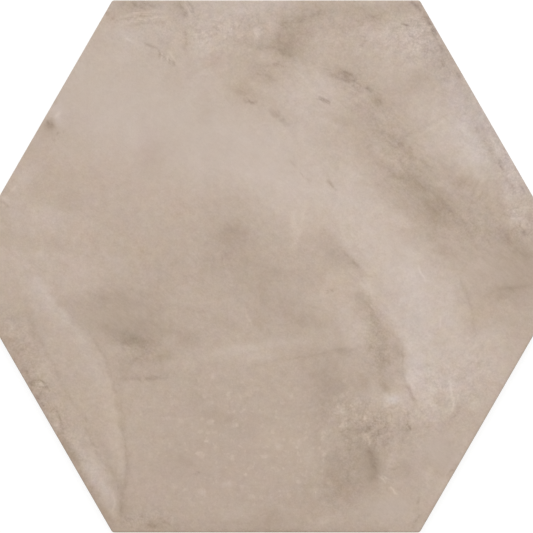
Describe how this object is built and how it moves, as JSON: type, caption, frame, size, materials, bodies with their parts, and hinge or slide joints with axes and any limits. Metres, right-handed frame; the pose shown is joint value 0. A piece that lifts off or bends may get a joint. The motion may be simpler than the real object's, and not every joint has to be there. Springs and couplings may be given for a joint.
{
  "type": "hexagon floor tile",
  "caption": "Hexagonal porcelain floor tile with a clouded matt beige face, rounded arris and honeycomb-keyed back.",
  "frame": {"origin": "middle of the back, on the plane that the tile is bedded on", "axes": "+Z out of the face, X through two opposite corners, +Y and -Y through two opposite flats"},
  "size_m": [0.249, 0.216, 0.009],
  "materials": {
    "glazed_porcelain": "matt glaze on the face with clouded taupe and beige shades, plain biscuit on the sides and back"
  },
  "bodies": {
    "root": {"hexagon_tile": "glazed_porcelain"}
  },
  "joints": []
}
